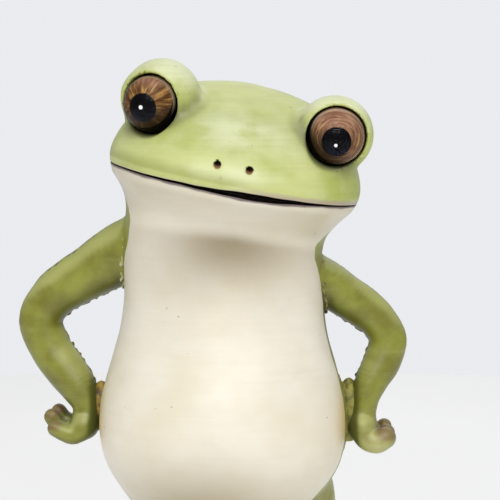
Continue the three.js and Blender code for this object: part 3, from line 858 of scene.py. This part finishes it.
def green_coat(p, marks):
    """Light green of the head, which turns olive down the trunk, with painted highlights, painted shade
    under the eyes, and creases darkened by antique wash together with painted shade.
    """
    patch, limb = marks["patch"], p.fact("limb")
    head_strokes = p.times(p.step(marks["strokes"], 0.3, 0.6, 0.10, 0.0), p.minus(1.0, limb))
    return p.washes(
        p.mix(p.step(marks["cloud"], 0.35, 0.65), GREEN, LIGHT_GREEN),
        (p.step(patch, 0.45, 0.8, 0.0, 0.3), CLOUDED_GREEN),
        # painted highlights in paler green
        (p.times(p.fact("pale"), p.step(patch, 0.25, 0.6, 0.3, 1.0)), HIGHLIGHT_GREEN),
        (limb, limb_coat(p, patch)),
        (p.step(marks["wide_strokes"], 0.5, 0.8, 0.0, 0.15), STROKE_GREEN),
        (head_strokes, DARK_STROKE_GREEN),
        # painted shade under the eyes
        (p.times(p.fact("under_eye"), 0.9), UNDER_EYE_OLIVE),
        # darker in the creases: antique wash together with painted shade
        (p.step(p.fact("crease"), 0.16, 0.6, 0.0, 0.92), CREASE_OLIVE),
    )


def cream_coat(p, marks):
    """Cream of jaw, chest and belly, streaked, greyed in patches, with beige painted shade, and darker in
    creases.
    """
    return p.washes(
        p.mix(p.step(marks["cloud"], 0.3, 0.7), CREAM, LIGHT_CREAM),
        (p.step(marks["wide_strokes"], 0.42, 0.75, 0.0, 0.09), STROKE_TAN),
        (p.step(marks["strokes"], 0.3, 0.58, 0.05, 0.0), DARK_STROKE_TAN),
        (p.times(p.fact("gold"), 0.85), HIP_GOLD),
        (p.step(marks["patch"], 0.62, 0.8, 0.0, 0.22), PATCH_GREY),
        # painted shadow under the chin and painted shade low on the belly, in beige
        (p.fact("shade"), SHADE_BEIGE),
        # darker in the creases: antique wash together with painted shade
        (p.step(p.fact("crease"), 0.12, 0.5, 0.0, 0.85), CREASE_TAN),
    )


def mouth_colours(p, skin):
    """Dark lower lip, pale and mauve edges over the slit, and darker olive on the upper lip."""
    lip = p.fact("lip")
    ragged = p.times(p.minus(p.noise(p.place(160, 160, 500), 3.0), 0.5), 0.9)
    from_slit = p.plus(p.fact("slit"), ragged)
    above, below = p.step(lip, -0.05, 0.05), p.step(lip, -0.05, 0.05, 1.0, 0.0)
    left_share = p.step(p.fact("across"), -2.0, 12.0)
    mauve_edge = p.times(p.step(from_slit, 0.6, 1.5, 0.65, 0.0), above)
    upper_olive = p.times(p.step(lip, 1.3, 2.1), p.step(lip, 2.3, 5.0, 0.45, 0.0))
    return p.washes(
        skin,
        (p.times(p.step(from_slit, 0.25, 0.75, 0.9, 0.0), below), LOWER_LIP),
        (p.times(p.step(from_slit, 0.2, 0.6, 0.5, 0.0), above), PALE_LIP),
        (p.times(mauve_edge, left_share), MAUVE_LIP),
        (p.times(upper_olive, p.minus(1.0, left_share)), UPPER_LIP_OLIVE),
    )


def dark_details(p, skin):
    """Finger tips, specks, the rims of the sockets in black outline together with painted shade in the gap
    round each ball, the slit, and the nostrils, brown with painted shade in their upper part.
    """
    return p.washes(
        skin,
        (p.times(p.fact("tip"), 0.85), FINGER_TIP_BROWN),
        (p.step(p.noise(p.place(620), 1.0), 0.78, 0.81, 0.0, 0.5), SPECK_BROWN),
        # socket rims: black outline together with painted shade in the gap round each ball
        (p.step(p.fact("eye"), 0.02, 0.18, 0.75, 0.0), SOCKET_BLACK),
        (p.step(p.fact("slit"), 0.0, 0.12, 1.0, 0.0), SLIT_BLACK),
        # nostrils: brown below, painted shade above where the hole runs in
        (p.step(p.fact("nostril"), 0.02, 0.22, 1.0, 0.0),
         p.mix(p.step(p.fact("lip"), 5.6, 6.3), NOSTRIL_BROWN, NOSTRIL_BLACK)),
    )


def skin_paint():
    """Hand-brushed green and cream, which meet along a wavering edge."""
    p = Paint("painted_resin_skin")
    marks = brush_marks(p)
    wander = p.times(p.minus(p.noise(p.place(240), 3.0), 0.5), 1.6)
    on_cream = p.step(p.plus(p.fact("cream"), wander), -0.12, 0.12)
    skin = p.mix(on_cream, green_coat(p, marks), cream_coat(p, marks))
    skin = dark_details(p, mouth_colours(p, skin))

    brushed = p.plus(p.times(marks["strokes"], 0.22), p.times(marks["patch"], 1.1))
    normal = p.bump(brushed, 0.00022, 0.4)
    normal = p.bump(p.noise(p.place(1500), 2.0), 0.00004, 0.5, normal)
    return p.finish(
        Base_Color=skin, Roughness=p.step(marks["patch"], 0.2, 0.8, 0.33, 0.50), Normal=normal,
        Specular_IOR_Level=0.45, Coat_Weight=0.15, Coat_Roughness=0.28,
    )


def putty_paint(name, light, dark):
    p = Paint(name)
    lumps = p.noise(p.place(420), 4.0)
    wash = p.noise(p.place(150), 3.0)
    colour = p.washes(
        p.mix(p.step(lumps, 0.35, 0.65), dark, light),
        (p.step(wash, 0.5, 0.7, 0.0, 0.6), (0.30, 0.31, 0.075)),
        # darker in the creases: painted shade
        (p.step(p.fact("crease"), 0.35, 0.9, 0.0, 0.6), (0.07, 0.05, 0.015)),
    )
    normal = p.bump(lumps, 0.0004, 0.7)
    return p.finish(Base_Color=colour, Roughness=p.step(lumps, 0.3, 0.7, 0.35, 0.6), Normal=normal)


# The eyes are painted by hand, so they differ. "streaks" and "rings" say how fine the marks are round the
# iris and outwards, "pink" and "low" are steps of height, and the black starts at "black_from".
EYE_PAINT = {
    "right": {
        "streaks": 3.2, "rings": 1.1, "pink": (0.45, 0.85, 0.0, 0.9),
        "low": (-0.45, 0.15, 0.85, 0.0), "low_lean": -0.25, "low_colour": (0.030, 0.016, 0.010),
        "black_from": 0.80, "black_way": (0.62, 0.78),
        "pupil": (0.0, -0.10, 0.50), "dot": (-0.03, -0.09, 0.067),
    },
    "left": {
        "streaks": 0.7, "rings": 8.5, "pink": (-0.1, 0.6, 0.35, 0.85),
        "low": (-0.75, 0.05, 0.8, 0.0), "low_lean": 0.55, "low_colour": (0.045, 0.026, 0.018),
        "black_from": 0.90, "black_way": (-0.70, 0.70),
        "pupil": (-0.03, -0.12, 0.515), "dot": (-0.04, -0.24, 0.055),
    },
}


def polar_streaks(p, across, up, radius, look):
    """Noise that follows the iris round and outwards."""
    angle = p.math("ARCTAN2", up, across)
    polar = p.node("CombineXYZ")
    p.put(polar.inputs[0], p.times(p.math("COSINE", angle), look["streaks"]))
    p.put(polar.inputs[1], p.times(p.math("SINE", angle), look["streaks"]))
    p.put(polar.inputs[2], p.times(radius, look["rings"]))
    return p.noise(polar.outputs[0], 5.0, 0.65, 2.0)


def iris_coat(p, across, up, streaks, cloud, look):
    """Brown and gold streaks, pinker above, with a dark lower crescent of painted shade."""
    brown = p.mix(p.step(streaks, 0.36, 0.62), IRIS_DARK, IRIS_BROWN)
    brown = p.mix(p.step(streaks, 0.52, 0.70, 0.0, 0.9), brown, IRIS_GOLD)
    pink = p.mix(p.step(streaks, 0.35, 0.7), PINK_DARK, PINK_LIGHT)
    height = p.plus(up, p.times(p.minus(cloud, 0.5), 0.5))
    iris = p.mix(p.step(height, *look["pink"]), brown, pink)
    # darker low in the iris: painted shade
    low = p.plus(up, p.times(across, look["low_lean"]))
    return p.mix(p.step(low, *look["low"]), iris, look["low_colour"])


def ball_edge(p, iris, across, up, ahead, radius, look):
    """Turns the iris black towards the outer edge of the ball as a painted outline, which widens into a
    crescent of painted shade, with a thin pale rim inside it as a painted reflection.
    """
    spread = p.times(p.math("ARCCOSINE", ahead), 2 / math.pi)
    to_side, down = look["black_way"]
    black_way = p.minus(p.times(across, to_side), p.times(up, down))
    black = p.plus(p.times(black_way, 0.30), spread)
    # black outline towards the edge, widening into a crescent of painted shade
    iris = p.mix(p.step(black, look["black_from"], look["black_from"] + 0.05), iris, BALL_BLACK)
    rim = p.times(p.step(radius, 0.90, 0.935), p.step(radius, 0.955, 0.98, 1.0, 0.0))
    # pale rim: painted reflection of the dome's edge
    iris = p.mix(p.times(rim, p.step(black, 0.85, 1.0, 0.65, 0.0)), iris, IRIS_RIM_REFLECTION)
    return p.mix(p.step(spread, 0.93, 1.0, 0.0, 1.0), iris, BALL_EDGE)


def spot(p, across, up, place, softness, wobble=0.0):
    """1 inside a round spot, whose place is x, y and radius, and 0 outside it."""
    x, y, size = place
    away = p.plus(p.length(p.minus(across, x), p.minus(up, y)), wobble)
    return p.step(away, size - softness, size + softness, 1.0, 0.0)


def iris_paint(side):
    """A hand-painted eye: iris, pupil with a painted reflection in its lower half, and a white dot of
    painted highlight, which glows slightly to stay white in shade.

    The attribute holds a point of the ball as right, up and forward, in ball radii."""
    p, look = Paint(side + "_iris"), EYE_PAINT[side]
    split = p.node("SeparateXYZ")
    p.put(split.inputs[0], p.vector_fact("eye_point"))
    across, up, ahead = split.outputs
    radius = p.length(across, up)
    streaks = polar_streaks(p, across, up, radius, look)
    cloud = p.noise(p.vector_fact("eye_point"), 2.0, 0.5, 2.6)
    iris = iris_coat(p, across, up, streaks, cloud, look)
    iris = ball_edge(p, iris, across, up, ahead, radius, look)

    pupil = spot(p, across, up, look["pupil"], 0.012, p.times(p.minus(cloud, 0.5), 0.05))
    # painted reflection in the lower half of the pupil
    glint = p.times(p.step(up, -0.6, -0.1, 1.0, 0.0), p.step(cloud, 0.4, 0.6))
    eye = p.mix(pupil, iris, p.mix(glint, PUPIL_BLACK, PUPIL_GLINT))
    # white dot: a painted highlight
    dot = p.times(spot(p, across, up, look["dot"], 0.015), p.step(ahead, 0.0, 0.2))
    eye = p.mix(dot, eye, HIGHLIGHT_DOT_WHITE)
    return p.finish(
        Base_Color=eye, Roughness=p.step(streaks, 0.3, 0.7, 0.35, 0.5), Normal=p.bump(streaks, 0.0001, 0.4),
        # the dot glows slightly: painted light
        Specular_IOR_Level=0.04, Emission_Color=(1.0, 1.0, 1.0), Emission_Strength=p.times(dot, 0.5),
    )


def clear_dome():
    """Clear gloss over the eye: see-through, with a reflection that grows towards the rim."""
    p = Paint("clear_dome")
    p.tree.nodes.remove(p.shader)
    clear = p.node("BsdfTransparent")
    gloss = p.node("BsdfGlossy")
    gloss.inputs["Roughness"].default_value = 0.04
    fresnel = p.node("Fresnel")
    fresnel.inputs["IOR"].default_value = 1.2
    mixed = p.node("MixShader")
    p.put(mixed.inputs[0], fresnel.outputs[0])
    p.put(mixed.inputs[1], clear.outputs[0])
    p.put(mixed.inputs[2], gloss.outputs[0])
    p.put(p.output.inputs["Surface"], mixed.outputs[0])
    return p.material


def felt():
    p = Paint("felt")
    fuzz = p.noise(p.place(2600), 4.0, 0.7)
    colour = p.mix(p.step(fuzz, 0.3, 0.7), (0.022, 0.030, 0.014), (0.065, 0.078, 0.040))
    return p.finish(Base_Color=colour, Roughness=0.95, Sheen_Weight=0.4, Normal=p.bump(fuzz, 0.0003, 0.8))


def steel():
    p = Paint("drawn_steel")
    drawn = p.noise(p.place(3000, 3000, 120), 3.0)
    colour = p.mix(p.step(drawn, 0.3, 0.7), (0.30, 0.31, 0.32), (0.52, 0.53, 0.54))
    rough = p.step(drawn, 0.3, 0.7, 0.25, 0.45)
    return p.finish(Base_Color=colour, Metallic=1.0, Roughness=rough, Normal=p.bump(drawn, 0.00003, 0.5))


def rubber():
    p = Paint("plug_rubber")
    dust = p.noise(p.place(900), 4.0)
    colour = p.mix(p.step(dust, 0.35, 0.75), (0.075, 0.070, 0.060), (0.19, 0.18, 0.155))
    rough = p.step(dust, 0.3, 0.7, 0.65, 0.9)
    return p.finish(Base_Color=colour, Roughness=rough, Normal=p.bump(dust, 0.0001))


SKIN = skin_paint()
PUTTY = {
    "left": putty_paint("hip_putty_left", (0.34, 0.31, 0.05), (0.14, 0.13, 0.02)),
    "right": putty_paint("hip_putty_right", (0.42, 0.28, 0.035), (0.085, 0.05, 0.010)),
}
CRUMBS = {
    "left": putty_paint("armpit_putty_left", (0.30, 0.25, 0.07), (0.075, 0.05, 0.018)),
    "right": putty_paint("armpit_putty_right", (0.62, 0.60, 0.34), (0.32, 0.30, 0.10)),
}

# ---- pieces


def uneven_spacing(*stretches):
    """Grid lines from stretches of (start, end, spacing), each starting where the last one ends."""
    lines = [np.arange(start, end - spacing / 4, spacing) for start, end, spacing in stretches]
    lines.append(np.array([stretches[-1][1]]))
    return np.concatenate(lines).astype(np.float32)


def make_head_and_trunk():
    xs = uneven_spacing((-34, -6, 0.62), (-6, 6, 0.42), (6, 34, 0.62))
    ys = uneven_spacing((-33, 28, 0.66))
    zs = uneven_spacing(
        (60.5, 148, 0.85), (148, 152.8, 0.4), (152.8, 156.4, 0.16), (156.4, 162, 0.35), (162, 183.5, 0.55),
    )
    vertices, faces = surface_net(head_and_trunk, xs, ys, zs)
    vertices = settle(head_and_trunk, vertices)
    facts = paint_facts(head_and_trunk, vertices, trunk_facts)
    make_object(
        "head_and_trunk", vertices, faces, facts, SKIN, ["head_and_trunk_shell"],
    )


def make_from_field(name, field, box, spacing, material, slot, node, specks=60):
    lines = [np.arange(low, high, spacing).astype(np.float32) for low, high in box]
    vertices, faces = surface_net(field, *lines)
    vertices, faces = drop_specks(vertices, faces, specks)
    vertices = settle(field, vertices)
    make_object(name, vertices, faces, paint_facts(field, vertices, limb_facts), material, [node])


def mirrored(side, low, high):
    return (low, high) if side == "left" else (-high, -low)


def make_limbs(side):
    """Makes the pieces of one side from name, shape, box, spacing, material, slot, node and least speck."""
    for name, shape, (across, deep, high), spacing, *looks in (
        ("_arm", arm_piece, ((19, 54.5), (-9, 13.5), (86, 146)), 0.42,
         SKIN, "painted_resin", side + "_arm_casting", 60),
        ("_leg", leg_piece, ((1, 47), (-36, 15.5), (0.6, 97)), 0.62,
         SKIN, "painted_resin", side + "_leg_casting", 60),
        ("_hip_putty_web", hip_putty, ((25.5, 39), (-6, 7.5), (87, 107)), 0.34,
         PUTTY[side], "resin_putty", side + "_hip_putty", 60),
        ("_armpit_putty", shoulder_bead, ((18, 36), (-8, 14), (117, 146)), 0.34,
         CRUMBS[side], "resin_putty", side + "_shoulder_bead", 25),
    ):
        field = partial(shape, side=side)
        make_from_field(side + name, field, (mirrored(side, *across), deep, high), spacing, *looks)


POLE = 0.004  # angle of the pin-hole that closes each pole of a ball


def ball_mesh(side, radius, end=math.pi - POLE, rows=96, columns=144):
    """Part of a ball round an eye, from its foremost point back to the angle `end`.

    Gives the vertices, the quads, and each vertex as right, up and forward in ball radii."""
    g = gaze(side)
    right = np.cross((0, 0, 1.0), g)
    right /= np.linalg.norm(right)
    up = np.cross(g, right)
    polar = np.linspace(POLE, end, rows)
    turn = np.linspace(0, 2 * math.pi, columns, endpoint=False)
    across = np.outer(np.sin(polar), np.cos(turn)).ravel()
    height = np.outer(np.sin(polar), np.sin(turn)).ravel()
    ahead = np.outer(np.cos(polar), np.ones(columns)).ravel()
    local = np.column_stack([across, height, ahead])
    centre = np.array(EYES[side]["ball"])
    vertices = centre + radius * (np.outer(across, right) + np.outer(height, up) + np.outer(ahead, g))
    i, j = np.meshgrid(np.arange(rows - 1), np.arange(columns), indexing="ij")
    k = (j + 1) % columns
    quads = np.stack([i * columns + j, (i + 1) * columns + j, (i + 1) * columns + k, i * columns + k], -1)
    return vertices, quads.reshape(-1, 4), local


def make_eye(side, dome_material):
    vertices, quads, local = ball_mesh(side, BALL)
    make_object(
        side + "_painted_eye", vertices, quads, {"eye_point": local}, iris_paint(side),
        [side + "_eye_ball"],
    )
    vertices, quads, _ = ball_mesh(side, DOME, math.acos(0.06), 48, 120)
    make_object(
        side + "_clear_dome", vertices, quads, {}, dome_material,
        [side + "_eye_dome"],
    )


make_head_and_trunk()
dome_material = clear_dome()
for side in SIDES:
    make_limbs(side)
    make_eye(side, dome_material)

carried_over = {"plug": rubber(), "wire": steel(), "pad": felt()}
carried_over["rod"] = carried_over["wire"]
for name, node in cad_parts.items():
    ending = name.split("_")[-1]
    if ending in carried_over:
        node.data.materials.clear()
        node.data.materials.append(carried_over[ending])

# ---- floor, lights and camera

CAMERA_DISTANCE, CAMERA_LENS = 0.45, 130
CAMERA_AZIMUTH, CAMERA_ELEVATION = math.radians(4), math.radians(6)
AIM = Vector((6.5 * MM + ORIGIN[0] * MM, ORIGIN[1] * MM, 0.1375))


def make_floor():
    bpy.ops.mesh.primitive_circle_add(vertices=96, radius=0.62, fill_type="NGON")
    floor = bpy.context.object
    floor.name = "floor"
    p = Paint("pale_floor")
    cloud = p.noise(p.place(6), 2.0)
    colour = p.mix(p.step(cloud, 0.3, 0.7), (0.90, 0.90, 0.90), (0.93, 0.93, 0.925))
    floor.data.materials.append(p.finish(
        Base_Color=colour, Roughness=0.8, Emission_Color=(1.0, 1.0, 1.0), Emission_Strength=0.22,
    ))


def area_light(name, place, size, power, colour):
    data = bpy.data.lights.new(name, "AREA")
    data.shape = "DISK"
    data.size = size
    data.energy = power
    data.color = colour
    lamp = bpy.data.objects.new(name, data)
    lamp.location = place
    lamp.rotation_euler = (Vector((0, 0, 0.12)) - Vector(place)).to_track_quat("-Z", "Y").to_euler()
    bpy.context.scene.collection.objects.link(lamp)


def make_lights():
    """A large soft key light and a weak one behind. The camera sees a brighter wall than the frog does."""
    area_light("key", (0.05, -0.72, 0.72), 0.9, 6.1, (1.0, 0.985, 0.965))
    area_light("back", (0.1, 0.6, 0.6), 0.7, 0.8, (1.0, 1.0, 1.0))
    world = bpy.data.worlds.new("studio")
    world.use_nodes = True
    tree = world.node_tree
    wall = tree.nodes["Background"]
    wall.inputs["Color"].default_value = (0.955, 0.965, 1.0, 1)
    wall.inputs["Strength"].default_value = 0.865
    room = tree.nodes.new("ShaderNodeBackground")
    room.inputs["Color"].default_value = (0.97, 0.98, 1.0, 1)
    room.inputs["Strength"].default_value = 0.45
    seen = tree.nodes.new("ShaderNodeLightPath")
    mixed = tree.nodes.new("ShaderNodeMixShader")
    sources = seen.outputs["Is Camera Ray"], room.outputs[0], wall.outputs[0]
    for source, target in zip(sources, mixed.inputs):
        tree.links.new(source, target)
    tree.links.new(mixed.outputs[0], tree.nodes["World Output"].inputs[0])
    bpy.context.scene.world = world
    bpy.context.scene.view_settings.view_transform = "Standard"


def make_camera():
    back = Vector((
        math.sin(CAMERA_AZIMUTH) * math.cos(CAMERA_ELEVATION),
        -math.cos(CAMERA_AZIMUTH) * math.cos(CAMERA_ELEVATION),
        math.sin(CAMERA_ELEVATION),
    ))
    data = bpy.data.cameras.new("camera")
    data.lens = CAMERA_LENS
    data.sensor_width = 36
    data.clip_start = 0.01
    data.clip_end = 20
    camera = bpy.data.objects.new("camera", data)
    camera.location = AIM + back * CAMERA_DISTANCE
    camera.rotation_euler = (-back).to_track_quat("-Z", "Y").to_euler()
    bpy.context.scene.collection.objects.link(camera)
    bpy.context.scene.camera = camera


make_floor()
make_lights()
make_camera()
